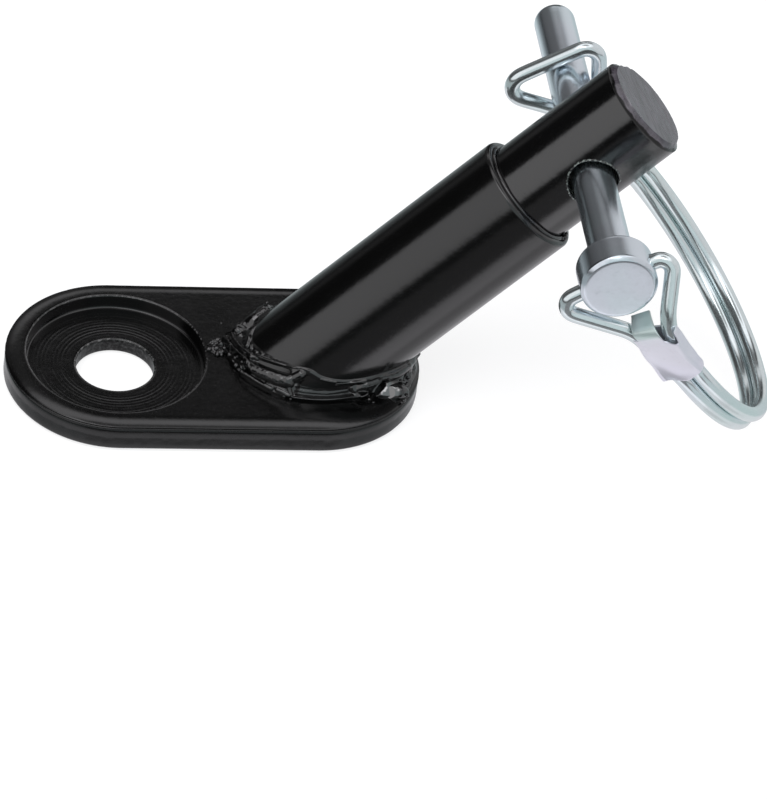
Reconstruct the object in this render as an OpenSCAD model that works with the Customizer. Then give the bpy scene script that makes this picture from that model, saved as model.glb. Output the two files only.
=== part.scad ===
// Angled trailer coupling bracket with its wire lock pin.
// A flat plate clamps under the wheel axle nut, a leaning tube welded on it
// carries a solid round post, and a lock pin with a spring wire bail goes
// through the post to hold the trailer arm.
// Frame: +Z up, origin at the centre of the axle hole on the plate's bottom
// face, +X along the plate towards the leaning tube, the lock pin along Y.

/* [Plate] */
// Overall length of the plate, with its round ends
plate_len = 64; // [58:1:80]
// Width of the plate
plate_w = 34; // [32:1:40]
// Thickness of the plate
plate_t = 4.8; // [4:0.1:6]
// Rounding of the plate's top edge
plate_edge = 1.0; // [0.3:0.1:1.5]
// Radius of the axle hole
axle_r = 6; // [4:0.1:8]
// Radius of the round recess for the axle nut and washer
recess_r = 13.7; // [12:0.1:14.5]
// Thickness of metal left under the recess
floor_t = 2.4; // [2:0.1:3]

/* [Leaning tube] */
// Distance from the axle hole to the tube's axis on the plate's top face
tube_x = 30.3; // [28:0.1:33]
// Lean of the tube above the plate, in degrees
lean = 48; // [40:1:60]
// Outer radius of the tube
tube_r = 9.5; // [9.2:0.1:10.5]
// Length of the tube along its axis, from the plate's top face
tube_len = 44; // [38:1:55]
// Rounding of the tube's mouth
mouth_round = 0.6; // [0.3:0.1:1]

/* [Post] */
// Radius of the solid post
post_r = 8; // [7.5:0.1:8.2]
// Distance from the plate's top face to the post's free end, along the axis
post_end = 67; // [64:1:80]
// Depth of the post inside the tube
post_in = 24; // [15:1:28]
// Chamfer on the free end
post_chamfer = 0.9; // [0.3:0.1:1.5]
// Distance from the plate's top face to the cross hole, along the axis
hole_s = 55; // [53:0.5:56]
// Radius of the cross hole for the lock pin
hole_r = 3.9; // [3.4:0.1:4.2]

/* [Lock pin] */
// Radius of the pin's shank
pin_r = 3.175; // [2.8:0.025:3.3]
// Free end of the shank, from the post's axis
tip_y = 33.9; // [30:0.1:38]
// Back face of the head, from the post's axis
head_back = 27.1; // [25:0.1:28]
// Front face of the head, from the post's axis
head_front = 32.5; // [32:0.1:34]
// Radius of the head
head_r = 5.65; // [5:0.05:5.7]
// Rounding of the shank's free end
tip_round = 1.3; // [0.5:0.1:2]
// Radius of the hole across the head that the wire turns in
pivot_r = 1.28; // [1.25:0.01:1.35]

/* [Wire bail] */
// Radius of the spring wire
wire_r = 1.2; // [1:0.05:1.2]
// Radius of the ring, to the middle of the wire
ring_r = 24.4; // [23:0.1:26]
// Middle of the ring along the pin, from the post's axis
ring_y = -9.6; // [-11:0.1:-8]
// Middle of the ring out from the pin's axis
ring_out = 20.9; // [20:0.1:23]
// Turn of the wire's pivot from level, in degrees
bail_tilt = 31; // [20:1:45]
// Twist of the ring against its pivot, in degrees
bail_twist = 9.5; // [0:0.5:12]
// Thickness of the sheet of the clip that holds the two strands
clip_t = 0.5; // [0.3:0.1:0.8]

/* [Hidden] */
$fn = 96;
eps = 0.01;
leg_x = plate_len - plate_w;              // middle of the plate's far round end
pin_x = tube_x + hole_s * cos(lean);      // the lock pin's axis crosses the post's here
pin_z = plate_t + hole_s * sin(lean);
head_mid = -(head_back + head_front) / 2; // the bail turns about this station
bore_r = post_r + 0.02;                   // the tube's bore, a push fit on the post

// ---------- placing ----------
module on_tube_axis() { translate([tube_x, 0, plate_t]) rotate([0, 90 - lean, 0]) children(); }
// local z runs along -Y, so z = 0 is the post's axis and +z is the head's side
module on_pin_axis() { translate([pin_x, 0, pin_z]) rotate([90, 0, 0]) children(); }

// ---------- plate ----------
module half_profile(w) {
    square([w - plate_edge, plate_t]);
    square([w, plate_t - plate_edge]);
    translate([w - plate_edge, plate_t - plate_edge]) circle(plate_edge);
}
module blank() {
    rotate_extrude() half_profile(plate_w / 2);
    translate([leg_x, 0, 0]) rotate_extrude() half_profile(plate_w / 2);
    rotate([90, 0, 90]) linear_extrude(leg_x) { half_profile(plate_w / 2); mirror([1, 0]) half_profile(plate_w / 2); }
}
module mounting_plate() {
    color([0.05, 0.05, 0.055]) difference() {
        blank();
        translate([0, 0, floor_t]) cylinder(r = recess_r, h = plate_t);
        translate([0, 0, -1]) cylinder(r = axle_r, h = plate_t + 2);
    }
}

// ---------- tube, post ----------
module socket_tube() {
    color([0.05, 0.05, 0.055]) difference() {
        on_tube_axis() rotate_extrude() {
            translate([bore_r, -20]) square([tube_r - bore_r, 20 + tube_len - mouth_round]);
            translate([bore_r, -20]) square([tube_r - bore_r - mouth_round, 20 + tube_len]);
            translate([tube_r - mouth_round, tube_len - mouth_round]) circle(mouth_round, $fn = 48);
        }
        translate([-20, -40, plate_t - 60]) cube([110, 80, 60]);
    }
}
module coupling_post() {
    color([0.07, 0.07, 0.075]) on_tube_axis() difference() {
        rotate_extrude() polygon([[0, tube_len - post_in], [post_r - 0.5, tube_len - post_in],
            [post_r, tube_len - post_in + 0.5], [post_r, post_end - post_chamfer],
            [post_r - post_chamfer, post_end], [0, post_end]]);
        translate([0, 0, hole_s]) rotate([90, 0, 0]) cylinder(r = hole_r, h = 4 * post_r, center = true);
    }
}

// ---------- weld beads ----------
// The fillet round the foot of the tube: [angle round the foot, size]. The angle runs
// from +X towards +Y; the near side is at 270, the heel at 180 and the toe at 0
WELD_W = [[0, 2.4], [20, 2.2], [60, 1.6], [120, 1.6], [150, 2.0], [165, 1.7], [180, 2.2], [195, 1.3], [210, 0.8],
          [225, 0.7], [240, 0.9], [270, 1.1], [297, 1.4], [312, 2.9], [330, 3.0], [345, 2.6], [360, 2.4]];
WELD_H = [[0, 3.6], [60, 3.0], [120, 3.4], [150, 4.6], [175, 4.4], [200, 4.0], [250, 4.0], [290, 3.6], [320, 4.1],
          [345, 4.0], [360, 3.6]];
W_N = 60;
function foot(t, g) = [tube_x + (tube_r + g) / sin(lean) * cos(t), (tube_r + g) * sin(t)];
function bead_pt(t, k) =
    let (w = lookup(t, WELD_W), up = lookup(t, WELD_H), lx = up / tan(lean),
         c = foot(t, 0), o = foot(t, w), i = foot(t, -0.9))
    k == 0 ? [i[0], i[1], plate_t - 0.5] :
    k == 1 ? [o[0], o[1], plate_t - 0.5] :
    k == 2 ? [o[0], o[1], plate_t + 0.3] :
    k == 3 ? [(c[0] + o[0] + lx) / 2 + 0.2 * cos(t), (c[1] + o[1]) / 2 + 0.2 * sin(t), plate_t + 0.5 * up] :
    k == 4 ? [c[0] + lx, c[1], plate_t + up] :
             [i[0] + lx, i[1], plate_t + up];
module base_weld() {
    n = 6;
    pts = [for (a = [0:W_N - 1]) for (k = [0:n - 1]) bead_pt(a * 360 / W_N, k)];
    faces = [for (a = [0:W_N - 1]) for (k = [0:n - 1])
        let (b = (a + 1) % W_N, m = (k + 1) % n)
        each [[a * n + k, a * n + m, b * n + m], [a * n + k, b * n + m, b * n + k]]];
    color([0.06, 0.06, 0.06]) polyhedron(points = pts, faces = faces);
}
// The small bead that seals the post in the tube's mouth
module rim_weld() {
    color([0.06, 0.06, 0.06]) on_tube_axis() rotate_extrude()
        polygon([[post_r + 0.01, tube_len + 0.01], [post_r + 0.75, tube_len + 0.01],
                 [post_r + 0.5, tube_len + 0.4], [post_r + 0.01, tube_len + 0.6]]);
}

// ---------- lock pin ----------
module lock_pin() {
    color([0.78, 0.80, 0.83]) difference() {
        on_pin_axis() rotate_extrude() {
            translate([0, -tip_y + tip_round]) square([pin_r, tip_y + head_back - tip_round + eps]);
            translate([0, -tip_y]) square([pin_r - tip_round, tip_round + eps]);
            translate([pin_r - tip_round, -tip_y + tip_round]) circle(tip_round, $fn = 48);
            polygon([[0, head_back], [head_r - 0.25, head_back], [head_r, head_back + 0.25],
                     [head_r, head_front - 0.55], [head_r - 0.55, head_front], [0, head_front]]);
        }
        translate([pin_x, head_mid, pin_z]) rotate([0, 90 - bail_tilt, 0])
            cylinder(r = pivot_r, h = 4 * head_r, center = true);
    }
}

// ---------- the spring wire bail ----------
// Points of the bail are [along the pin, out from the pin, sideways], and the
// twist grows with the distance out from the pin
function smooth(t) = let (u = min(1, max(0, t))) u * u * (3 - 2 * u);
function turned(r) = bail_tilt + bail_twist * smooth(r / 16);
function place(p) = let (g = turned(p[1]))
    [pin_x + p[1] * sin(g) + p[2] * cos(g), p[0], pin_z - p[1] * cos(g) + p[2] * sin(g)];
function unit(v) = v / norm(v);
// one corner of a path rounded to radius r, as seg + 1 points
function corner(a, p, b, r, seg) =
    let (u = unit(a - p), v = unit(b - p), ang = acos(u * v),
         t = min(r / tan(ang / 2), 0.49 * norm(a - p), 0.49 * norm(b - p)), q = t * tan(ang / 2),
         c = p + unit(u + v) * q / sin(ang / 2), s0 = p + u * t - c, e0 = p + v * t - c,
         om = acos(s0 * e0 / (q * q)))
    [for (k = [0:seg]) c + (sin((1 - k / seg) * om) * s0 + sin(k / seg * om) * e0) / sin(om)];
half_gap = wire_r + 0.02;
ring_n = 30;
function ring_pt(k, s) = let (a = 184 - 186 * k / ring_n)
    place([ring_y + ring_r * cos(a), ring_out + ring_r * sin(a), half_gap * s]);
// s is +1 for the strand on the upper side and -1 for the lower one
leg_out = [place([head_mid, 0, 9.1]), place([head_mid, 0.3, -10.9])];
leg_in = [place([-35.0, 9.0, 2.35]), place([-31.8, 9.0, -2.35])];
loop_in = [place([17.6, 7.6, half_gap]), place([17.6, 7.6, -half_gap])];
loop_out = [place([17.5, -4.5, 7.0]), place([17.5, -4.5, -11.6])];
function strand(s) =
    let (i = s > 0 ? 0 : 1, start = place([head_mid, 0, 3.0 * s]), r0 = ring_pt(0, s), r1 = ring_pt(ring_n, s))
    concat([start], corner(start, leg_out[i], leg_in[i], 2.6, 6),
           corner(leg_out[i], leg_in[i], r0, 8, 3), [for (k = [0:ring_n]) ring_pt(k, s)]);
function loop_side(s) =
    let (i = s > 0 ? 0 : 1, r1 = ring_pt(ring_n, s), mid = place([17.5, -4.5, 0]))
    concat([r1], corner(r1, loop_in[i], loop_out[i], 8, 3), corner(loop_in[i], loop_out[i], mid, 2.9, 6));
function turn_back(l) = [for (i = [len(l) - 1:-1:0]) l[i]];
function along(p, i) = unit(p[min(i + 1, len(p) - 1)] - p[max(i - 1, 0)]);
// a side direction carried along the path without spin
function sides(p, i, prev) = i >= len(p) ? [] :
    let (t = along(p, i), v = unit(prev - t * (prev * t))) concat([v], sides(p, i + 1, v));
SIDES = 12;
// the two parts of the wire meet on one flat section, square to the ring at its end
function seam(s) = unit(ring_pt(ring_n + 0.5, s) - ring_pt(ring_n - 0.5, s));
module sweep(p, up, first = undef, last = undef) {
    n = len(p);
    ns = sides(p, 0, up);
    pts = [for (i = [0:n - 1])
        let (t = i == 0 && first != undef ? first : i == n - 1 && last != undef ? last : along(p, i),
             a = unit(ns[i] - t * (ns[i] * t)), b = cross(t, a))
        for (k = [0:SIDES - 1]) p[i] + wire_r * (cos(k * 360 / SIDES) * a + sin(k * 360 / SIDES) * b)];
    faces = concat([[for (k = [SIDES - 1:-1:0]) k]],
        [for (i = [0:n - 2]) for (k = [0:SIDES - 1]) let (m = (k + 1) % SIDES)
            each [[i * SIDES + k, i * SIDES + m, (i + 1) * SIDES + m], [i * SIDES + k, (i + 1) * SIDES + m, (i + 1) * SIDES + k]]],
        [[for (k = [0:SIDES - 1]) (n - 1) * SIDES + k]]);
    polyhedron(points = pts, faces = [for (f = faces) turn_back(f)]);
}
module bail_wire() {
    color([0.80, 0.83, 0.84]) {
        sweep(strand(1), [0, 1, 0], last = seam(1));
        sweep(strand(-1), [0, 1, 0], last = seam(-1));
    }
}
module bail_loop() {
    color([0.80, 0.83, 0.84])
        sweep(concat(loop_side(1), turn_back(loop_side(-1))), unit([1, 0, 1]), first = seam(1), last = -seam(-1));
}

// ---------- the sheet clip crimped on the two strands ----------
CL_N = 8;
CL_K = 24;
function clip_mid(u, s) = let (i = s > 0 ? 0 : 1) leg_in[i] * (1 - u) + ring_pt(0, s) * u;
function clip_pt(u, k, wall) =
    let (a = clip_mid(u, 1), b = clip_mid(u, -1), c = (a + b) / 2,
         t = unit(ring_pt(0, 1) + ring_pt(0, -1) - leg_in[0] - leg_in[1]),
         n0 = unit(a - b), n = unit(n0 - t * (n0 * t)), m = cross(t, n),
         hw = norm(a - b) / 2, ang = k * 360 / CL_K, x = cos(ang), y = sin(ang),
         r = wire_r + 0.03 + wall)
    c + n * (sign(x) * min(1, abs(x) * 3) * hw + r * x) + m * r * max(-0.93, min(0.93, y));
module bail_clip() {
    us = [for (i = [0:CL_N]) 0.02 + 0.96 * i / CL_N];
    n = CL_N + 1;
    outer = [for (i = [0:CL_N]) for (k = [0:CL_K - 1]) clip_pt(us[i], k, clip_t)];
    inner = [for (i = [0:CL_N]) for (k = [0:CL_K - 1]) clip_pt(us[i], k, 0)];
    o = n * CL_K;
    faces = concat(
        [for (i = [0:CL_N - 1]) for (k = [0:CL_K - 1]) let (m = (k + 1) % CL_K)
            each [[i * CL_K + k, i * CL_K + m, (i + 1) * CL_K + m], [i * CL_K + k, (i + 1) * CL_K + m, (i + 1) * CL_K + k]]],
        [for (i = [0:CL_N - 1]) for (k = [0:CL_K - 1]) let (m = (k + 1) % CL_K)
            each [[o + i * CL_K + k, o + (i + 1) * CL_K + m, o + i * CL_K + m], [o + i * CL_K + k, o + (i + 1) * CL_K + k, o + (i + 1) * CL_K + m]]],
        [for (k = [0:CL_K - 1]) let (m = (k + 1) % CL_K) each [[k, o + k, o + m], [k, o + m, m]]],
        [for (k = [0:CL_K - 1]) let (m = (k + 1) % CL_K, e = CL_N * CL_K)
            each [[e + k, e + m, o + e + m], [e + k, o + e + m, o + e + k]]]);
    color([0.76, 0.76, 0.80]) polyhedron(points = concat(outer, inner), faces = [for (f = faces) turn_back(f)]);
}

mounting_plate();
socket_tube();
coupling_post();
base_weld();
rim_weld();
lock_pin();
bail_wire();
bail_loop();
bail_clip();
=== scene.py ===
"""Looks for the angled coupling bracket and its wire lock pin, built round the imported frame."""
import math

import bmesh
import bpy
import numpy as np
from mathutils import Matrix, Vector


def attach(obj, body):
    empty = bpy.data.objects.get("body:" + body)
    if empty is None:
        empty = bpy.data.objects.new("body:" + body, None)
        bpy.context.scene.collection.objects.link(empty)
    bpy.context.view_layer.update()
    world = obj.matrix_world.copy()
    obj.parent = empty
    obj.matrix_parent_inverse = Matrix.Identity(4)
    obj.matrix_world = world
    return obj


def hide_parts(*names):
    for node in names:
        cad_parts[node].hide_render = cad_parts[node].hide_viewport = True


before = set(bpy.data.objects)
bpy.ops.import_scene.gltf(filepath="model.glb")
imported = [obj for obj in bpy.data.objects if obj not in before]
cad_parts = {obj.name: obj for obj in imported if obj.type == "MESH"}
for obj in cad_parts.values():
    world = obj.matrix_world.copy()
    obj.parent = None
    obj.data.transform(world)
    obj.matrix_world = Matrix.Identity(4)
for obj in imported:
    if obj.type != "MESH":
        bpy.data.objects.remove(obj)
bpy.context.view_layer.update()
MM = 0.001
rng = np.random.default_rng(7)

# ---------------------------------------------------------------- dimensions, mm (as in the CAD source)
LEG_X, PLATE_R, PLATE_T, FLOOR_T, AXLE_R, RECESS_R = 30.0, 17.0, 4.8, 2.4, 6.0, 13.7
TUBE_X, LEAN, TUBE_R, TUBE_LEN, BORE_R = 30.3, math.radians(48), 9.5, 44.0, 8.02
POST_R, POST_END, HOLE_S, HOLE_R = 8.0, 67.0, 55.0, 3.9
PIN_R, TIP_Y, HEAD_BACK, HEAD_FRONT, HEAD_R, PIVOT_R = 3.175, 33.9, 27.1, 32.5, 5.65, 1.28
WIRE_R, RING_R, RING_Y, RING_OUT, TILT, TWIST = 1.2, 24.4, -9.6, 20.9, 31.0, 9.5
CL, SL = math.cos(LEAN), math.sin(LEAN)
PIN_X, PIN_Z = TUBE_X + HOLE_S * CL, PLATE_T + HOLE_S * SL
HEAD_MID = -(HEAD_BACK + HEAD_FRONT) / 2
A = np.array([CL, 0.0, SL])          # tube and post axis
EU = np.array([SL, 0.0, -CL])        # across the axis, down and to +X
EV = np.array([0.0, 1.0, 0.0])
BASE = np.array([TUBE_X, 0.0, PLATE_T])


# ---------------------------------------------------------------- noise
def vnoise(p, seed=0):
    """Smooth value noise in 3-D, about -1 to 1, the same each run."""
    p = np.asarray(p, float)
    i = np.floor(p).astype(np.int64)
    f = p - i
    f = f * f * f * (f * (f * 6 - 15) + 10)
    out = np.zeros(p.shape[:-1])
    for dx in (0, 1):
        for dy in (0, 1):
            for dz in (0, 1):
                h = (i[..., 0] + dx) * 374761393 + (i[..., 1] + dy) * 668265263 + (i[..., 2] + dz) * 2147483647 + seed * 974634777
                h = (h ^ (h >> 13)) * 1274126177
                h = (h ^ (h >> 16)) & 0xFFFFFF
                v = h / 0xFFFFFF * 2 - 1
                w = (f[..., 0] if dx else 1 - f[..., 0]) * (f[..., 1] if dy else 1 - f[..., 1]) * (f[..., 2] if dz else 1 - f[..., 2])
                out += v * w
    return out


def fbm(p, seed=0, octaves=3):
    p = np.asarray(p, float)
    return sum(vnoise(p * 2 ** o, seed + o) / 2 ** o for o in range(octaves)) / 1.5


def smooth(t):
    u = np.clip(t, 0, 1)
    return u * u * (3 - 2 * u)


# ---------------------------------------------------------------- mesh helpers
def make(name, verts, faces, sharp=40.0, scale=MM):
    me = bpy.data.meshes.new(name)
    me.from_pydata((np.asarray(verts, float) * scale).tolist(), [], faces)
    me.validate()
    o = bpy.data.objects.new(name, me)
    bpy.context.scene.collection.objects.link(o)
    finish_mesh(o, sharp)
    return o


def finish_mesh(o, sharp=40.0):
    bm = bmesh.new()
    bm.from_mesh(o.data)
    bmesh.ops.remove_doubles(bm, verts=bm.verts, dist=1e-7)
    bmesh.ops.recalc_face_normals(bm, faces=bm.faces)
    lim = math.radians(sharp)
    for f in bm.faces:
        f.smooth = True
    for e in bm.edges:
        e.smooth = not (len(e.link_faces) == 2 and e.calc_face_angle(0.0) > lim)
    bm.to_mesh(o.data)
    bm.free()


def grid_faces(rows, cols, wrap_c=True, wrap_r=False, off=0):
    out = []
    for i in range(rows if wrap_r else rows - 1):
        i2 = (i + 1) % rows
        for j in range(cols if wrap_c else cols - 1):
            j2 = (j + 1) % cols
            out.append((off + i * cols + j, off + i * cols + j2, off + i2 * cols + j2, off + i2 * cols + j))
    return out


def lathe(profile, origin, axis, u, v, n=192, caps=(True, True)):
    """profile: [(radius, along)]. Returns verts and faces of a surface of revolution."""
    th = np.linspace(0, 2 * math.pi, n, endpoint=False)
    ring = np.cos(th)[:, None] * u + np.sin(th)[:, None] * v
    verts, faces, rows = [], [], 0
    pts = [p for p in profile]
    for r, s in pts:
        verts.append(origin + s * axis + r * ring)
    verts = np.concatenate(verts)
    faces = grid_faces(len(pts), n)
    k = len(verts)
    extra = []
    if caps[0]:
        extra.append(origin + pts[0][1] * axis)
        faces += [(k, (j + 1) % n, j) for j in range(n)]
        k += 1
    if caps[1]:
        extra.append(origin + pts[-1][1] * axis)
        o = (len(pts) - 1) * n
        faces += [(k, o + j, o + (j + 1) % n) for j in range(n)]
    if extra:
        verts = np.vstack([verts, np.array(extra)])
    return verts, faces


def arc(cx, cy, r, a0, a1, n):
    return [(cx + r * math.cos(math.radians(a0 + (a1 - a0) * k / n)), cy + r * math.sin(math.radians(a0 + (a1 - a0) * k / n))) for k in range(n + 1)]


def boolean(o, cutter, keep=False):
    m = o.modifiers.new("cut", "BOOLEAN")
    m.operation, m.object, m.solver = "DIFFERENCE", cutter, "EXACT"
    bpy.context.view_layer.update()
    dg = bpy.context.evaluated_depsgraph_get()
    me = bpy.data.meshes.new_from_object(o.evaluated_get(dg))
    o.modifiers.clear()
    o.data = me
    if not keep:
        bpy.data.objects.remove(cutter)
    return o


def join_into(o, *others):
    """Adds the others' meshes to o's, as further closed shells."""
    bm = bmesh.new()
    bm.from_mesh(o.data)
    for p in others:
        bm.from_mesh(p.data)
        bpy.data.objects.remove(p)
    bm.to_mesh(o.data)
    bm.free()
    return o


def sweep(path, r, up, n=28, round_ends=True, name="sweep", taper=None):
    """A round bar along a path of points. The side direction is carried without spin."""
    p = np.asarray(path, float)
    t = np.gradient(p, axis=0)
    t /= np.linalg.norm(t, axis=1)[:, None]
    side = np.asarray(up, float)
    th = np.linspace(0, 2 * math.pi, n, endpoint=False)
    rows = []
    if round_ends:
        pre = [(p[0] - t[0] * r * (1 - math.cos(a)) * 0.35, t[0], r * math.sin(a)) for a in (0.25, 0.6, 1.0)]
    for i in range(len(p)):
        side = side - t[i] * (side @ t[i])
        side /= np.linalg.norm(side)
        b = np.cross(t[i], side)
        rr = r if taper is None else taper[i]
        rows.append(p[i] + rr * (np.cos(th)[:, None] * side + np.sin(th)[:, None] * b))
    verts = np.concatenate(rows)
    faces = grid_faces(len(rows), n)
    k = len(verts)
    verts = np.vstack([verts, p[0][None], p[-1][None]])
    o = (len(rows) - 1) * n
    faces += [(k, (j + 1) % n, j) for j in range(n)] + [(k + 1, o + j, o + (j + 1) % n) for j in range(n)]
    return make(name, verts, faces)


# ---------------------------------------------------------------- shader helpers
class Nodes:
    """Short names for building a node tree."""

    def __init__(self, tree):
        self.t = tree
        self.n = tree.nodes
        self.l = tree.links

    def node(self, kind, **inputs):
        nd = self.n.new(kind)
        for k, v in inputs.items():
            if hasattr(nd, k) and k not in [i.name for i in nd.inputs]:
                setattr(nd, k, v)
        return nd

    def vec(self, op, a, b=None):
        nd = self.n.new("ShaderNodeVectorMath")
        nd.operation = op
        for j, v in enumerate((a, b)):
            if v is not None:
                self.put(nd, j, v)
        return nd.outputs["Value"] if op in ("DOT_PRODUCT", "LENGTH") else nd.outputs[0]

    def put(self, nd, key, v):
        s = nd.inputs[key]
        if hasattr(v, "default_value") or isinstance(v, bpy.types.NodeSocket):
            self.l.new(v, s)
        else:
            s.default_value = v

    def math(self, op, a, b=None, c=None, clamp=False):
        nd = self.n.new("ShaderNodeMath")
        nd.operation, nd.use_clamp = op, clamp
        for k, v in enumerate((a, b, c)):
            if v is not None:
                self.put(nd, k, v)
        return nd.outputs[0]

    def add(self, a, b): return self.math("ADD", a, b)
    def sub(self, a, b): return self.math("SUBTRACT", a, b)
    def mul(self, a, b): return self.math("MULTIPLY", a, b)

    def step(self, x, lo, hi):
        """0 below lo to 1 above hi, smooth."""
        nd = self.n.new("ShaderNodeMapRange")
        nd.interpolation_type = "SMOOTHSTEP"
        self.put(nd, 0, x)
        flip = lo > hi
        nd.inputs[1].default_value, nd.inputs[2].default_value = (hi, lo) if flip else (lo, hi)
        nd.inputs[3].default_value, nd.inputs[4].default_value = (1, 0) if flip else (0, 1)
        return nd.outputs[0]

    def band(self, x, a, b, c, d):
        """1 between b and c, 0 outside a to d."""
        return self.mul(self.step(x, a, b), self.step(x, d, c))

    def mix(self, f, a, b):
        nd = self.n.new("ShaderNodeMix")
        nd.data_type = "RGBA"
        self.put(nd, 0, f)
        self.put(nd, 6, a)
        self.put(nd, 7, b)
        return nd.outputs[2]

    def noise(self, vec, scale, detail=3.0, rough=0.5, dist=0.0):
        nd = self.n.new("ShaderNodeTexNoise")
        self.l.new(vec, nd.inputs["Vector"])
        nd.inputs["Scale"].default_value, nd.inputs["Detail"].default_value = scale, detail
        nd.inputs["Roughness"].default_value, nd.inputs["Distortion"].default_value = rough, dist
        return nd.outputs[0]

    def stretch(self, vec, rot, scale):
        nd = self.n.new("ShaderNodeMapping")
        nd.vector_type = "TEXTURE" if False else "POINT"
        self.l.new(vec, nd.inputs[0])
        nd.inputs["Rotation"].default_value = rot
        nd.inputs["Scale"].default_value = scale
        return nd.outputs[0]

    def bump(self, h, dist, strength=1.0, normal=None):
        nd = self.n.new("ShaderNodeBump")
        nd.inputs["Strength"].default_value, nd.inputs["Distance"].default_value = strength, dist
        self.l.new(h, nd.inputs["Height"])
        if normal is not None:
            self.l.new(normal, nd.inputs["Normal"])
        return nd.outputs[0]


def material(name):
    m = bpy.data.materials.new(name)
    m.use_nodes = True
    k = Nodes(m.node_tree)
    p = m.node_tree.nodes["Principled BSDF"]
    tc = m.node_tree.nodes.new("ShaderNodeTexCoord")
    return m, k, p, tc.outputs["Object"]


def rgb(r, g, b): return (r, g, b, 1.0)


def paint(name, base=0.0011, rough=0.165, peel=0.9, dust=0.35, tint=(1.0, 1.0, 1.02), ior=1.7, sawn=False, turned_plate=False, drop=None):
    """Black gloss paint on steel: orange peel, fine nibs of dust, soft wear on the gloss."""
    m, k, p, co = material(name)
    big = k.noise(co, 90, 3, 0.5)
    fine = k.noise(co, 1400, 3, 0.6)
    grit = k.noise(co, 4200, 2, 0.5)
    col = k.mix(big, rgb(*(base * 0.8 * t for t in tint)), rgb(*(base * 1.35 * t for t in tint)))
    nibs = k.step(grit, 0.66, 0.74)
    gloss = k.add(k.add(k.mul(big, 0.06), k.mul(fine, 0.05)), rough - 0.055)
    col = k.mix(k.mul(nibs, dust), col, rgb(0.03, 0.03, 0.032))
    if sawn:
        # the sawn end takes the paint thinly: greyer, duller, with scratches along the saw's stroke
        edge = k.add(k.vec("DOT_PRODUCT", co, tuple(A)), k.mul(k.sub(k.noise(co, 380, 3, 0.6), 0.5), 0.0009))
        face = k.step(edge, (BASE @ A + POST_END) * MM - 0.00074, (BASE @ A + POST_END) * MM - 0.00060)
        scr = k.noise(k.stretch(co, (0.3, 0.5, 0.75), (1, 0.16, 1)), 900, 4, 0.65)
        blot = k.noise(co, 420, 3, 0.6)
        grey = k.mix(k.step(k.add(k.mul(scr, 0.65), k.mul(blot, 0.35)), 0.30, 0.72), rgb(0.016, 0.013, 0.018), rgb(0.092, 0.080, 0.102))
        col = k.mix(face, col, grey)
        gloss = k.add(gloss, k.mul(face, 0.13))
        near = k.step(k.vec("DOT_PRODUCT", co, tuple(A)), (BASE @ A + POST_END) * MM - 0.00112, (BASE @ A + POST_END) * MM - 0.00098)
        k.put(p, "Specular IOR Level", k.sub(0.5, k.mul(k.mul(near, k.sub(1.0, face)), 0.34)))
        # the rim of the cross hole has lost flecks of paint; the pale flecks are also a painted highlight standing in
        # for the rim's sparkle
        r = k.vec("LENGTH", k.vec("MULTIPLY", k.vec("SUBTRACT", co, (PIN_X * MM, 0, PIN_Z * MM)), (1, 0, 1)))
        rim = k.mul(k.band(r, 0.00384, 0.00392, 0.00402, 0.00418), k.step(k.noise(co, 2600, 3, 0.6), 0.47, 0.60))
        col = k.mix(rim, col, rgb(0.20, 0.23, 0.215))
        gloss = k.add(gloss, k.mul(rim, 0.12))
    if turned_plate:
        r = k.vec("LENGTH", k.vec("MULTIPLY", co, (1, 1, 0)))
        sp = k.n.new("ShaderNodeSeparateXYZ")
        k.l.new(co, sp.inputs[0])
        z = sp.outputs[2]
        # painted highlight: pale broken flecks on the recess's rim and on the axle hole's rim stand in for their
        # sparkling highlights, shown as paint worn thin at the edge
        chips_and_glints = k.step(k.noise(co, 1500, 4, 0.65), 0.46, 0.62)
        rim = k.mul(k.band(r, 0.01362, 0.01370, 0.01386, 0.01402), k.step(z, 0.00458, 0.00470))
        hole = k.mul(k.band(r, 0.00590, 0.00600, 0.00616, 0.00634), k.step(z, 0.00212, 0.00226))
        col = k.mix(k.mul(k.math("MAXIMUM", k.mul(rim, 0.55), hole), chips_and_glints), col, rgb(0.125, 0.125, 0.125))
        wall = k.step(r, 0.00612, 0.00603)
        grain = k.noise(co, 1900, 3, 0.6)
        col = k.mix(k.mul(wall, k.step(grain, 0.42, 0.72)), col, rgb(0.045, 0.045, 0.046))
        side = k.mul(k.step(r, 0.0143, 0.0146), k.step(z, 0.00448, 0.00434))
        gloss = k.add(gloss, k.add(k.mul(wall, 0.22), k.mul(side, k.add(0.03, k.mul(fine, 0.10)))))
        k.put(p, "Specular IOR Level", k.sub(0.5, k.add(k.mul(side, 0.19), k.mul(wall, 0.30))))
    if drop:
        near = k.step(k.vec("LENGTH", k.vec("SUBTRACT", co, tuple(v * MM for v in drop))), 0.00165, 0.00120)
        k.put(p, "Specular IOR Level", k.add(0.5, k.mul(near, 0.25)))
        k.put(p, "Coat Weight", near)
        p.inputs["Coat IOR"].default_value, p.inputs["Coat Roughness"].default_value = 1.9, 0.12
    k.put(p, "Base Color", col)
    k.put(p, "Roughness", gloss)
    p.inputs["IOR"].default_value = ior
    n1 = k.bump(k.noise(co, 700, 2, 0.5), 0.00004 * peel, 0.35)
    n2 = k.bump(fine, 0.00001, 0.25, n1)
    n3 = k.bump(nibs, 0.00002, 0.2, n2)
    k.l.new(n3, p.inputs["Normal"])
    return m


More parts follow.
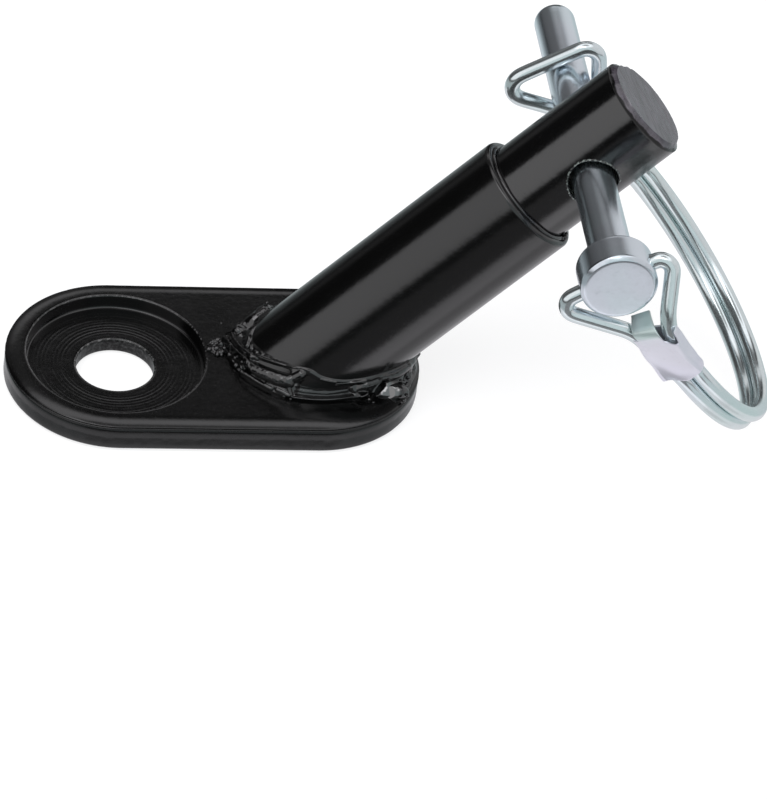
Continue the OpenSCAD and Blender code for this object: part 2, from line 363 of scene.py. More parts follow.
def zinc(name, base=(0.70, 0.76, 0.82), rough=0.17, along=(0, 0, 0), stretch=(1, 1, 1), streak=1.0, mottle=0.4, tints=True, metal=1.0, tongue=False):
    """Bright zinc plate over turned or drawn steel: streaks along the work, faint blue and green passivation."""
    m, k, p, co = material(name)
    st = k.stretch(co, along, stretch)
    s1 = k.noise(st, 900, 4, 0.6)
    s2 = k.noise(st, 3200, 2, 0.6)
    cloud = k.noise(co, 160, 4, 0.55, 0.6)
    c = k.mix(cloud, rgb(*(v * 0.93 for v in base)), rgb(*(min(1, v * 1.06) for v in base)))
    if tints:
        g = k.noise(co, 75, 2, 0.5, 0.3)
        c = k.mix(k.mul(k.step(g, 0.5, 0.68), 0.35), c, rgb(base[0] * 0.92, min(1, base[1] * 1.04), base[2] * 0.98))
        c = k.mix(k.mul(k.step(g, 0.48, 0.30), 0.35), c, rgb(base[0] * 0.99, base[1] * 0.97, min(1, base[2] * 1.05)))
    c = k.mix(k.mul(k.step(s1, 0.55, 0.75), 0.25), c, rgb(*(v * 0.75 for v in base)))
    if tongue:
        # the bent-back tongue keeps more of the green passivation
        g = math.radians(TILT + TWIST / 2)
        out = k.vec("DOT_PRODUCT", k.vec("SUBTRACT", co, (PIN_X * MM, 0, PIN_Z * MM)), (math.sin(g), 0, -math.cos(g)))
        c = k.mix(k.mul(k.step(out, 0.0090, 0.0081), k.add(0.45, k.mul(cloud, 0.4))), c, rgb(0.40, 0.54, 0.49))
    k.put(p, "Base Color", c)
    p.inputs["Metallic"].default_value = metal
    k.put(p, "Roughness", k.add(k.add(k.mul(s1, 0.12 * streak), k.mul(cloud, mottle * 0.1)), rough - 0.06 * streak - 0.05 * mottle))
    n1 = k.bump(s1, 0.000012 * streak, 0.5)
    n2 = k.bump(s2, 0.000005 * streak, 0.4, n1)
    n3 = k.bump(k.noise(co, 260, 2, 0.5), 0.00003, 0.25, n2)
    k.l.new(n3, p.inputs["Normal"])
    return m


BLACK = paint("black_paint")
PLATE_PAINT = paint("plate_paint", turned_plate=True)
BLACK_POST = paint("black_post_paint", base=0.0013, rough=0.15, dust=0.4, tint=(1.0, 0.98, 1.06), ior=1.85, sawn=True)
WELD = paint("weld_paint", base=0.0011, rough=0.11, peel=1.2, dust=0.10, ior=1.85, drop=(41.25, -9.15, 5.62))


# ---------------------------------------------------------------- camera (the view of the photograph)
def add_camera():
    az, el, roll = (math.radians(v) for v in (-12.37, 40.05, 8.86))
    back = Vector((math.sin(az) * math.cos(el), -math.cos(az) * math.cos(el), math.sin(el)))
    right = Vector((math.cos(az), math.sin(az), 0))
    up = back.cross(right)
    r2 = math.cos(roll) * right + math.sin(roll) * up
    u2 = -math.sin(roll) * right + math.cos(roll) * up
    pos = (Vector((42.08, -2.53, -1.98)) + 667.32 * back - 0.20 * r2 + 0.13 * u2) * MM
    cam = bpy.data.cameras.new("camera")
    cam.sensor_width, cam.sensor_fit = 36.0, "AUTO"
    cam.lens = 4307.95 * 36.0 / 800.0
    cam.clip_start, cam.clip_end = 0.01, 100
    o = bpy.data.objects.new("camera", cam)
    bpy.context.scene.collection.objects.link(o)
    o.matrix_world = Matrix(((r2.x, u2.x, back.x, pos.x), (r2.y, u2.y, back.y, pos.y), (r2.z, u2.z, back.z, pos.z), (0, 0, 0, 1)))
    bpy.context.scene.camera = o


add_camera()


# ---------------------------------------------------------------- plate
def plate():
    n = 480
    # the outline, by arc length, and the angle that a circle round the hole gives to each point
    half = math.pi * PLATE_R
    total = 2 * half + 2 * LEG_X
    base, nrm, ang = [], [], []
    for j in range(n):
        s = total * j / n
        if s < half:
            a = math.pi / 2 + s / PLATE_R
            base.append((0.0, 0.0)); nrm.append((math.cos(a), math.sin(a))); ang.append(a)
            continue
        q = (s - half) / (total - half)
        ang.append(1.5 * math.pi + math.pi * q)
        s -= half
        if s < LEG_X:
            base.append((s, 0.0)); nrm.append((0.0, -1.0))
        elif s < LEG_X + half:
            a = -math.pi / 2 + (s - LEG_X) / PLATE_R
            base.append((LEG_X, 0.0)); nrm.append((math.cos(a), math.sin(a)))
        else:
            base.append((LEG_X - (s - LEG_X - half), 0.0)); nrm.append((0.0, 1.0))
    base, nrm, ang = np.array(base), np.array(nrm), np.array(ang)
    circ = np.stack([np.cos(ang), np.sin(ang)], 1)
    rows = []

    def outline(d, z, rough=0.0, seed=0):
        p = base + nrm * (PLATE_R - d)
        q = np.concatenate([p, np.full((n, 1), z)], 1)
        if rough:
            w = fbm(np.concatenate([p * 0.9, np.full((n, 1), z * 1.5)], 1), seed, 3) * rough
            q[:, :2] -= nrm * np.abs(w)[:, None]
        rows.append(q)

    def circle(r, z, rough=0.0, seed=0, mix=0.0):
        p = circ * r
        q = np.concatenate([p, np.full((n, 1), z)], 1)
        if rough:
            q[:, 2] += fbm(np.concatenate([p * 0.7, np.full((n, 1), seed)], 1), seed, 3) * rough
        rows.append(q)

    # underside, from the hole's rim outwards
    circle(AXLE_R + 0.25, 0.0); circle(AXLE_R + 0.6, 0.0)
    circle(13.0, 0.0)
    outline(2.0, 0.0); outline(0.55, 0.0); outline(0.30, 0.06)
    outline(0.16, 0.22, 0.06, 3)
    # the sheared side: a slightly flared lower half, a burnished belt above it
    for z, d in ((0.45, 0.05), (0.7, 0.02), (1.2, 0.035), (1.7, 0.055), (2.15, 0.075), (2.3, 0.085), (2.45, 0.08), (2.75, 0.062), (3.1, 0.052), (3.4, 0.06), (3.6, 0.085)):
        outline(d, z, 0.035 if z < 2.2 else 0.02, 4)
    # the double lip left by the press, a groove under each ridge
    for z, d, w in ((3.70, 0.14, 0.03), (3.78, 0.19, 0.03), (3.85, 0.15, 0.03), (3.91, 0.07, 0.05), (3.98, 0.045, 0.06), (4.05, 0.08, 0.06),
                    (4.11, 0.22, 0.03), (4.16, 0.34, 0.02), (4.22, 0.36, 0.02), (4.27, 0.26, 0.03), (4.31, 0.17, 0.03)):
        outline(d, z, w, 5)
    # rolled-off top edge
    for k in range(1, 13):
        u = k / 12
        outline(0.16 + 2.42 * u ** 1.10, 4.33 + 0.47 * (1 - (1 - u) ** 2.2))
    outline(2.62, PLATE_T); outline(2.66, PLATE_T)
    circle(14.24, PLATE_T); circle(14.20, PLATE_T)
    # the turned recess: rounded rim, wall, floor with tool marks
    for r, z in ((14.08, 4.795), (13.96, 4.778), (13.86, 4.742), (13.77, 4.68), (13.72, 4.60), (13.705, 4.50)):
        circle(r, z, 0.012 if z < 4.79 else 0.0, 12)
    for z in (4.2, 3.6, 3.0, 2.75):
        circle(13.70, z)
    for r, z in ((13.67, 2.60), (13.58, 2.48), (13.42, 2.42), (13.2, 2.41)):
        circle(r, z)
    r = 13.0
    while r > 6.75:
        # one groove about every 0.62 mm, deeper towards the middle
        ph = (13.0 - r) / 0.62
        g = 0.5 - 0.5 * math.cos(2 * math.pi * ph)
        amp = 0.0125 * (0.75 + 0.35 * math.sin(r * 1.7) + 0.2 * math.sin(r * 4.1)) * smooth((13.1 - r) / 1.2) * smooth((r - 6.4) / 2.0)
        circle(r, 2.40 - amp * (g ** 1.4), 0.004, 9)
        r -= 0.62 / 7
    circle(6.6, 2.40); circle(6.42, 2.40)
    # the axle hole's rim and wall
    for r, z in ((6.28, 2.39), (6.14, 2.34), (6.04, 2.25), (6.0, 2.12)):
        circle(r, z)
    for z in (1.8, 1.3, 0.8, 0.4):
        circle(6.0 + 0.0, z)
    circle(6.06, 0.15); circle(6.14, 0.04)
    v = np.concatenate(rows)
    f = grid_faces(len(rows), n, wrap_r=True)
    o = make("plate", v, f, 55)
    return o


# ---------------------------------------------------------------- tube
def tube():
    n = 256
    th = np.linspace(0, 2 * math.pi, n, endpoint=False)
    e = np.cos(th)[:, None] * EU + np.sin(th)[:, None] * EV
    rows = []

    def ring(r, s):
        rows.append(BASE + np.asarray(s).reshape(-1, 1) * A + r * e)

    def foot(r, sink=0.35):
        return (-sink - r * e[:, 2]) / SL

    so, si = foot(TUBE_R), foot(BORE_R + 0.03)
    top = TUBE_LEN - 0.75
    for u in np.linspace(0, 1, 24):
        ring(TUBE_R, so * (1 - u) + top * u)
    for rr, ss in arc(TUBE_R - 0.72, TUBE_LEN - 0.75, 0.72, 6, 90, 9):
        ring(rr, np.full(n, ss))
    ring(TUBE_R - 0.95, np.full(n, TUBE_LEN + 0.0))
    ring(BORE_R + 0.22, np.full(n, TUBE_LEN - 0.02))
    ring(BORE_R + 0.07, np.full(n, TUBE_LEN - 0.14))
    ring(BORE_R + 0.03, np.full(n, TUBE_LEN - 0.4))
    for u in np.linspace(0, 1, 6):
        ring(BORE_R + 0.03, (TUBE_LEN - 1.0) * (1 - u) + si * u)
    return make("tube", np.concatenate(rows), grid_faces(len(rows), n, wrap_r=True), 60)


# ---------------------------------------------------------------- post
def post():
    n = 256
    th = np.linspace(0, 2 * math.pi, n, endpoint=False)
    e = np.cos(th)[:, None] * EU + np.sin(th)[:, None] * EV
    rows = []
    low = TUBE_LEN - 24
    prof = [(POST_R - 0.5, low), (POST_R, low + 0.5)]
    prof += [(POST_R, s) for s in (low + 6, TUBE_LEN - 2, TUBE_LEN + 1, 49, 52, 55, 58, 61, 63.5, 65.4)]
    for r, s in prof:
        rows.append(BASE + s * A + r * e)
    # worn chamfer of the sawn end: its width wanders round the rim
    wob = 0.18 * fbm(np.stack([np.cos(th) * 2.2, np.sin(th) * 2.2, th * 0 + 3], 1), 11, 3)
    nick = -0.34 * np.exp(-(((th - math.radians(128) + math.pi) % (2 * math.pi) - math.pi) / 0.09) ** 2) \
           - 0.22 * np.exp(-(((th - math.radians(112) + math.pi) % (2 * math.pi) - math.pi) / 0.05) ** 2)
    end = POST_END
    cham = 1.0 + wob
    for u, w in ((0.0, 0.0), (0.05, 0.10), (0.18, 0.30), (0.5, 0.66), (0.82, 0.90), (0.95, 0.98), (1.0, 1.0)):
        r = POST_R - 0.80 * w * (cham / 0.85) + nick * u - 0.02 * u
        s = end - cham * (1 - u)
        if u == 0.0:
            r = np.full(n, POST_R)
        rows.append(BASE + (s[:, None] * A) + np.asarray(r)[:, None] * e)
    # the sawn face: kerf lines and a slight crown
    r_in = POST_R - 0.80 * (cham / 0.85) + nick - 0.02
    for q in np.linspace(0.975, 0.0, 56)[:-1]:
        r = r_in * q
        P = r[:, None] * e
        x, y = P @ EU, P @ EV
        w = x * 0.94 + y * 0.34
        kerf = 0.034 * fbm(np.stack([w * 2.6, (y - x * .3) * 0.30, w * 0], 1), 21, 4) + 0.010 * fbm(np.stack([x * 0.9, y * 0.9, w * 0], 1), 27, 2)
        dip = -0.05 * smooth((1 - q) * 3)
        h = (kerf + dip) * smooth((1 - q) / 0.04)
        rows.append(BASE + (end + np.minimum(h, -0.001))[:, None] * A + P)
    v = np.concatenate(rows)
    f = grid_faces(len(rows), n)
    k = len(v)
    v = np.vstack([v, (BASE + low * A)[None], (BASE + (end - 0.05) * A)[None]])
    f += [(k, (j + 1) % n, j) for j in range(n)]
    o0 = (len(rows) - 1) * n
    f += [(k + 1, o0 + j, o0 + (j + 1) % n) for j in range(n)]
    o = make("post", v, f, 50)
    cv, cf = lathe([(HOLE_R, -12), (HOLE_R, 12)], BASE + HOLE_S * A, EV, EU, A, 160)
    cut = make("cut", cv, cf)
    boolean(o, cut)
    finish_mesh(o, 50)
    # the broken, paint-thin rims of the cross hole
    rims = []
    for side in (-1, 1):
        a = np.linspace(0, 2 * math.pi, 200, endpoint=False)
        rr = HOLE_R + 0.035
        xx, ss = rr * np.cos(a), rr * np.sin(a)
        yy = side * (np.sqrt(POST_R ** 2 - xx ** 2) + 0.0)
        c = BASE + HOLE_S * A + xx[:, None] * EU + ss[:, None] * A + yy[:, None] * EV
        rad = 0.13 * (1 + 0.50 * fbm(np.stack([np.cos(a) * 7, np.sin(a) * 7, a * 0 + side], 1), 31, 3))
        # keep inside the post's own skin by lying in the corner
        out = xx[:, None] * EU / HOLE_R + ss[:, None] * A / HOLE_R
        skin = (xx[:, None] * EU + yy[:, None] * EV) / POST_R
        t = np.roll(c, -1, 0) - np.roll(c, 1, 0)
        t /= np.linalg.norm(t, axis=1)[:, None]
        b1 = skin
        b2 = np.cross(t, b1)
        m = 12
        ph = np.linspace(0, 2 * math.pi, m, endpoint=False)
        ring = [c - 0.02 * skin + (rad * math.cos(x))[:, None] * b1 + (rad * math.sin(x))[:, None] * b2 for x in ph]
        vv = np.concatenate(ring)
        rims.append(make("rim%d" % side, vv, grid_faces(m, 200, wrap_r=True), 80))
    return o, rims


# ---------------------------------------------------------------- welds
WELD_W = [(0, 2.4), (20, 2.2), (60, 1.6), (120, 1.3), (132, 0.8), (140, 0.6), (150, 0.8), (158, 1.2), (165, 1.2), (172, 0.9), (180, 0.6),
          (190, 0.4), (200, 0.3), (210, 0.3), (218, 0.35), (228, 0.5), (236, 0.85), (245, 1.1), (255, 1.2), (270, 1.2), (285, 1.15),
          (298, 1.3), (304, 1.6), (308, 2.6), (312, 3.7), (318, 3.9), (325, 3.4), (332, 3.05), (345, 2.7), (360, 2.4)]
WELD_H = [(0, 3.6), (60, 3.0), (120, 3.4), (145, 4.8), (157, 4.6), (166, 3.95), (176, 3.5), (187, 3.4), (200, 3.75), (215, 4.1), (228, 4.3), (242, 4.6),
          (248, 4.3), (254, 3.8), (262, 3.5), (272, 3.3), (285, 3.5), (300, 3.9), (320, 4.1), (345, 4.0), (360, 3.6)]
# ropes of metal on the bead: [points (degrees round the foot, 0 at the plate to 1 on the tube)], radius mm, height mm
ROPES = [
    ([(126, 0.60), (134, 0.72), (141, 0.80), (147, 0.72), (152, 0.55), (158, 0.42)], 0.85, 1.05),
    ([(158, 0.42), (158, 0.25), (156, 0.08)], 0.50, 0.60),
    ([(166, 1.02), (173, 1.0), (180, 0.93), (186, 0.86)], 0.40, 0.42),
    ([(166, 0.13), (170, 0.22), (176, 0.34), (184, 0.50), (193, 0.61), (204, 0.60)], 0.62, 0.95),
    ([(163, 0.34), (170, 0.46), (176, 0.58), (184, 0.69), (192, 0.76), (199, 0.78), (206, 0.77)], 0.30, 0.62),
    ([(205, 0.57), (212, 0.52), (221, 0.53), (230, 0.55), (239, 0.58)], 0.98, 0.98),
    ([(238, 0.60), (241, 0.72), (242, 0.84)], 0.62, 0.66),
    ([(202, 0.86), (206, 0.88), (213, 0.91), (220, 0.94), (229, 0.97), (236, 1.0), (243, 0.99)], 0.26, 0.50),
    ([(216, 0.36), (227, 0.32), (236, 0.30), (243, 0.27)], 0.60, 0.42),
    ([(208, 0.10), (212, 0.13), (218, 0.15), (225, 0.13), (236, 0.11)], 0.36, 0.60),
    ([(240, 0.16), (246, 0.12), (251, 0.05)], 0.36, 0.55),
    ([(250, 0.04), (258, 0.05), (265, 0.055), (275, 0.08), (282, 0.11), (289, 0.15)], 0.20, 0.42),
    ([(240, 0.60), (244, 0.38), (250, 0.12)], 0.30, 0.62),
    ([(247, 0.50), (260, 0.57), (273, 0.58), (283, 0.60)], 0.17, 0.16),
    ([(250, 0.33), (262, 0.36), (274, 0.36), (284, 0.40)], 0.17, 0.14),
    ([(257, 0.92), (263, 0.93), (268, 0.92)], 0.17, 0.30),
    ([(272, 0.79), (277, 0.85), (283, 0.92), (288, 0.90)], 0.30, 0.50),
    ([(244, 0.68), (247, 0.74)], 0.26, 0.40),
    ([(287, 0.50), (291, 0.66), (297, 0.66), (302, 0.72)], 0.50, 0.55),
    ([(296, 0.06), (299, 0.12), (301, 0.05)], 0.24, 0.46),
    ([(303, 0.80), (312, 0.83), (322, 0.84), (332, 0.80)], 0.75, 0.45),
    ([(322, 0.96), (328, 0.78), (330, 0.55), (329, 0.28)], 0.40, 0.62),
    ([(340, 0.95), (343, 0.60), (342, 0.25)], 0.45, 0.45),
    ([(356, 0.95), (358, 0.55), (357, 0.2)], 0.55, 0.55),
    ([(318, 0.47), (319, 0.38)], 0.28, 0.60), ([(318, 0.22), (320, 0.15)], 0.26, 0.66), ([(321, 0.34), (322, 0.28)], 0.24, 0.55),
    ([(323, 0.08), (325, 0.14)], 0.28, 0.45),
    ([(190, 0.92), (193, 0.89)], 0.24, 0.40), ([(198, 0.90), (200, 0.91)], 0.20, 0.34),
    ([(203, 0.96), (205, 0.95)], 0.18, 0.30),
    ([(194, 0.40), (197, 0.42)], 0.24, 0.34), ([(186, 0.27), (189, 0.30)], 0.26, 0.34), ([(204, 0.38), (206, 0.34)], 0.26, 0.36),
    ([(179, 0.10), (183, 0.14)], 0.28, 0.36), ([(192, 0.12), (198, 0.10)], 0.26, 0.36), ([(201, 0.22), (204, 0.20)], 0.22, 0.30)]
# hollows: [points], width mm, depth mm
PITS = [
    ([(157, 0.66), (159, 0.74), (161, 0.84)], 0.55, 0.95), 
    ([(168, 0.66), (172, 0.76)], 0.24, 0.55), ([(165, 0.24), (175, 0.44), (186, 0.61), (198, 0.69), (204, 0.68)], 0.13, 0.5),
    ([(206, 0.71), (213, 0.75), (220, 0.79), (228, 0.82), (233, 0.82)], 0.28, 0.75), ([(182, 0.30), (192, 0.40), (202, 0.45)], 0.28, 0.35),
    ([(206, 0.24), (216, 0.24), (228, 0.21)], 0.20, 0.30), ([(306, 0.55), (304, 0.25), (303, 0.02)], 0.42, 0.95),
    ([(293, 0.30), (296, 0.28)], 0.30, 0.5), ([(315, 0.30), (316, 0.33)], 0.18, 0.45), ([(317, 0.06), (320, 0.04)], 0.2, 0.35),
    ([(325, 0.30), (324, 0.12)], 0.35, 0.5), ([(336, 0.7), (336, 0.3)], 0.35, 0.4), ([(350, 0.7), (350, 0.3)], 0.35, 0.4)]


def lookup(t, table):
    """Smooth reading of a table round the foot."""
    x = np.array([a for a, _ in table], float)
    y = np.array([b for _, b in table], float)
    grid = np.arange(0, 360, 1.0)
    v = np.interp(grid, x, y)
    k = np.exp(-0.5 * (np.arange(-9, 10) / 2.2) ** 2)
    k /= k.sum()
    v = np.convolve(np.concatenate([v[-9:], v, v[:9]]), k, "valid")
    return np.interp(np.asarray(t) % 360, np.append(grid, 360), np.append(v, v[0]))


def bead(t, v):
    """The bead's plain surface, hollow between plate and tube."""
    w, up = lookup(t, WELD_W), lookup(t, WELD_H)
    c, s = np.cos(np.radians(t)), np.sin(np.radians(t))

    def foot(g):
        return np.stack([TUBE_X + (TUBE_R + g) / SL * c, (TUBE_R + g) * s, np.full_like(c, PLATE_T)], -1)

    outer, inner = foot(w), foot(np.zeros_like(w))
    lx = up / math.tan(LEAN)
    top = inner + np.stack([lx, 0 * lx, up], -1)
    P = outer * (1 - v)[..., None] + top * v[..., None]
    pull = 4 * v * (1 - v) * 0.22
    return P * (1 - pull)[..., None] + inner * pull[..., None], foot, lx, up


def to_path(P, pts):
    """Distance from every point of P to the polyline on the bead."""
    q = np.array([(a, b) for a, b in pts], float)
    fine = np.concatenate([np.linspace(q[i], q[i + 1], 6, endpoint=False) for i in range(len(q) - 1)] + [q[-1:]])
    line = bead(fine[:, 0], fine[:, 1])[0]
    a, b = line[:-1], line[1:]
    lo, hi = line.min(0) - 1.4, line.max(0) + 1.4
    m = np.all((P > lo) & (P < hi), axis=-1)
    d = np.full(P.shape[:-1], 9.0)
    X = P[m]
    if len(X):
        ab = b - a
        L = (ab ** 2).sum(1) + 1e-9
        u = np.clip(((X[:, None] - a) * ab).sum(-1) / L, 0, 1)
        d[m] = np.linalg.norm(X[:, None] - a - u[..., None] * ab, axis=-1).min(1)
    return d


def base_weld():
    nt, nv = 1320, 72
    t, v = np.meshgrid(np.linspace(0, 360, nt, endpoint=False), np.linspace(0, 1, nv))
    P, foot, lx, up = bead(t, v)
    dv = np.gradient(P, axis=0)
    dt = np.roll(P, -1, 1) - np.roll(P, 1, 1)
    N = np.cross(dt, dv)
    N /= np.linalg.norm(N, axis=-1)[..., None] + 1e-9
    mid = foot(np.full_like(lx, -6.0)) + np.stack([lx * 0.5, 0 * lx, up * 0.4], -1)
    N *= np.sign(((P - mid) * N).sum(-1))[..., None]
    q = P * 0.55
    wob = fbm(q, 41, 3)
    fine = fbm(P * 1.9, 45, 2)
    far = smooth((t - 5) / 15) * smooth((150 - t) / 20)
    # bulges meet in sharp creases: the highest rope wins, with a small blend
    warp = 1 + 0.08 * wob
    h = 0.10 + 0.05 * wob
    for pts, r, up_ in ROPES:
        d = to_path(P, pts) / (r * warp * 1.25)
        b = up_ * np.sqrt(np.clip(1 - d * d, 0, 1)) * (1 + 0.06 * fine)
        k = 0.16
        e = np.clip(0.5 + 0.5 * (b - h) / k, 0, 1)
        h = np.where(d < 1, b * e + h * (1 - e) + k * e * (1 - e), h)
    # plain rippled bead on the far side
    rip = 0.16 * np.sin(np.radians(t) * 36 + 3.0 * (v - 0.5) ** 2 * 4 + 1.6 * vnoise(q * 0.8, 49))
    h += far * (rip + 0.28 * np.sin(math.pi * v))
    for pts, r, dep in PITS:
        d = to_path(P, pts) / r
        h -= dep * np.exp(-0.5 * d * d)
    # the big hollow between two pools
    box = smooth((t - 247 + (v - 0.5) * 9) / 4) * smooth((292 - t) / 6)
    h -= 0.70 * box * smooth((v - 0.12) / 0.10) * smooth((0.96 - v) / 0.16)
    h += 0.012 * fine + 0.006 * vnoise(P * 4.5, 47)
    sh = smooth(v / 0.05) * smooth((1 - v) / 0.05)
    P = P + N * ((0.10 + np.clip(h, -1.0, 1.7)) * sh)[..., None]
    P[..., 2] = np.maximum(P[..., 2], PLATE_T - 0.25)
    low = foot(lookup(t, WELD_W) * 0.9) - np.array([0, 0, 0.30])
    inn = foot(np.full_like(lx, -0.6))
    high = inn + np.stack([lx, 0 * lx, up], -1)
    deep = inn - np.array([0, 0, 0.30])
    rows = [deep[0], low[0]] + list(P) + [high[-1]]
    return make("base_weld_bead", np.concatenate(rows), grid_faces(len(rows), nt, wrap_r=True), 75)


def blobs(name, items, seed=5, sub=3, lump=0.12):
    """Small frozen drops: lumpy spheres joined into one mesh of closed shells."""
    V, F, off = [], [], 0
    for i, (x, y, z, rx, ry, rz) in enumerate(items):
        bm = bmesh.new()
        bmesh.ops.create_icosphere(bm, subdivisions=sub, radius=1.0)
        p = np.array([v.co for v in bm.verts])
        f = [tuple(w.index for w in g.verts) for g in bm.faces]
        bm.free()
        k = 1 + lump * fbm(p * 1.6 + i * 3.7, seed, 2)
        p = p * k[:, None] * np.array([rx, ry, rz]) + np.array([x, y, z])
        V.append(p)
        F += [tuple(a + off for a in g) for g in f]
        off += len(p)
    return make(name, np.concatenate(V), F, 180)


def pool():
    """The last pool of the weld: a smooth drop with one broad flat face turned to the left."""
    n = np.array([-0.510, -0.653, 0.559])
    at = np.array([41.25, -9.15, 5.62])
    bm = bmesh.new()
    bmesh.ops.create_icosphere(bm, subdivisions=5, radius=1.0)
    p = np.array([v.co for v in bm.verts])
    f = [tuple(w.index for w in g.verts) for g in bm.faces]
    bm.free()
    p = p * (1 + 0.10 * fbm(p * 1.3, 71, 2))[:, None] * np.array([2.1, 1.5, 1.35]) + at - n * 0.62 + np.array([0.55, 0.25, -0.25])
    d = (p - at) @ n
    p -= (np.clip(d, 0, None) * 0.93)[:, None] * n
    p[:, 2] = np.maximum(p[:, 2], PLATE_T - 0.25)
    return make("pool", p, f, 180)


def spatter():
    items = [(15.75, 1.45, PLATE_T + 0.05, 1.55, 1.75, 0.50)]
    # the cluster at the heel, beside the recess
    g = np.random.default_rng(11)
    for k in range(46):
        a, q = g.uniform(0, 2 * math.pi), math.sqrt(g.uniform(0, 1))
        r = 0.17 + 0.36 * g.uniform(0, 1) ** 1.8
        x, y = 15.75 + 1.65 * q * math.cos(a), 1.45 + 1.85 * q * math.sin(a)
        items.append((x, y, PLATE_T + r * 0.35 + 0.45 * max(0.0, 1 - q * q), r * g.uniform(0.8, 1.35), r * g.uniform(0.8, 1.3), r * g.uniform(0.7, 1.1)))
    # single drops along the bead's edge and on the plate
    for x, y, z, r in ((18.1, -0.6, 5.0, 0.34), (18.9, -1.4, 5.0, 0.30), (19.4, -2.5, 4.95, 0.24), (19.9, -3.4, 5.0, 0.28), (19.0, -2.2, 4.85, 0.16),
                       (20.9, -5.6, 4.9, 0.22), (21.4, -6.9, 4.9, 0.26), (24.9, -9.8, 4.95, 0.26), (25.8, -10.4, 4.92, 0.24),
                       (37.9, -10.3, 4.95, 0.30), (38.5, -10.9, 4.90, 0.24), (43.3, -10.4, 4.95, 0.34), (43.9, -9.4, 5.15, 0.30), (42.9, -10.7, 4.85, 0.20),
                       (24.4, 12.6, 4.85, 0.26), (16.8, 7.4, 4.82, 0.18), (35.8, 13.2, 4.84, 0.24)):
        items.append((x, y, z, r, r, r * 0.85))
    return blobs("weld_spatter", items, lump=0.26)


def rim_weld():
    """The thin seal of weld and paint where the post leaves the tube."""
    n = 360
    th = np.linspace(0, 2 * math.pi, n, endpoint=False)
    e = np.cos(th)[:, None] * EU + np.sin(th)[:, None] * EV
    wob = fbm(np.stack([np.cos(th) * 3, np.sin(th) * 3, th * 0], 1), 61, 3)
    rows = []
    for a in np.linspace(0, 2 * math.pi, 14, endpoint=False):
        r = POST_R + 0.30 + (0.33 + 0.05 * wob) * math.cos(a)
        s = TUBE_LEN + 0.02 + (0.30 + 0.07 * wob) * math.sin(a)
        rows.append(BASE + s[:, None] * A + r[:, None] * e)
    o = make("mouth_seal", np.concatenate(rows), grid_faces(len(rows), n, wrap_r=True), 80)
    it = []
    for deg, ds, dr, r in ((-38, 0.25, 0.15, 0.50), (-32, 0.05, 0.35, 0.42), (-44, 0.15, 0.10, 0.30), (-27, 0.3, 0.0, 0.26), (150, 0.2, 0.1, 0.24)):
        t = math.radians(deg)
        p = BASE + (TUBE_LEN + ds) * A + (POST_R + 0.35 + dr) * (math.cos(t) * EU + math.sin(t) * EV)
        it.append((*p, r, r, r))
    return join_into(o, blobs("seal_drops", it, 8))


# ---------------------------------------------------------------- lock pin
def lock_pin():
    prof = [(0.35, TIP_Y - 0.0)]
    tip = [(0.9, TIP_Y - 0.02), (1.5, TIP_Y - 0.07)]
    # domed tip with a rounded shoulder
    prof = [(0.4, TIP_Y), (0.9, TIP_Y - 0.03), (1.35, TIP_Y - 0.10)]
    for k in range(0, 11):
        a = math.radians(62 - 62 * k / 10)
        prof.append((PIN_R - 1.45 + 1.45 * math.cos(a), TIP_Y - 1.75 + 1.75 * math.sin(a)))
    for y in np.linspace(TIP_Y - 3, -HEAD_BACK + 0.35, 40):
        prof.append((PIN_R, y))
    prof += [(PIN_R + 0.02, -HEAD_BACK + 0.22), (PIN_R + 0.10, -HEAD_BACK + 0.07), (PIN_R + 0.25, -HEAD_BACK)]
    prof += [(HEAD_R - 0.8, -HEAD_BACK), (HEAD_R - 0.26, -HEAD_BACK - 0.01), (HEAD_R - 0.10, -HEAD_BACK - 0.06), (HEAD_R - 0.02, -HEAD_BACK - 0.18), (HEAD_R, -HEAD_BACK - 0.35)]
    for y in np.linspace(-HEAD_BACK - 0.8, -HEAD_FRONT + 0.95, 10):
        prof.append((HEAD_R, y))
    prof += [(HEAD_R, -HEAD_FRONT + 0.62), (HEAD_R - 0.03, -HEAD_FRONT + 0.54), (HEAD_R - 0.12, -HEAD_FRONT + 0.43), (HEAD_R - 0.38, -HEAD_FRONT + 0.14),
             (HEAD_R - 0.50, -HEAD_FRONT + 0.04), (HEAD_R - 0.62, -HEAD_FRONT + 0.005), (HEAD_R - 0.9, -HEAD_FRONT), (3.6, -HEAD_FRONT), (1.6, -HEAD_FRONT), (0.4, -HEAD_FRONT)]
    o = np.array([PIN_X, 0, PIN_Z])
    v, f = lathe(prof, o, EV, np.array([1.0, 0, 0]), np.array([0, 0, 1.0]), 200)
    pin = make("pin", v, f, 60)
    g = math.radians(TILT)
    ax = np.array([math.cos(g), 0, math.sin(g)])
    c = np.array([PIN_X, HEAD_MID, PIN_Z])
    u = np.array([0.0, 1.0, 0.0])
    w = np.cross(ax, u)
    cv, cf = lathe([(PIVOT_R, -14), (PIVOT_R, 14)], c, ax, u, w, 64)
    boolean(pin, make("cut2", cv, cf))
    finish_mesh(pin, 50)
    return pin


# ---------------------------------------------------------------- wire bail
def turned(r): return TILT + TWIST * float(smooth(r / 16))


def place(p):
    g = math.radians(turned(p[1]))
    return np.array([PIN_X + p[1] * math.sin(g) + p[2] * math.cos(g), p[0], PIN_Z - p[1] * math.cos(g) + p[2] * math.sin(g)])


HALF_GAP = WIRE_R + 0.012


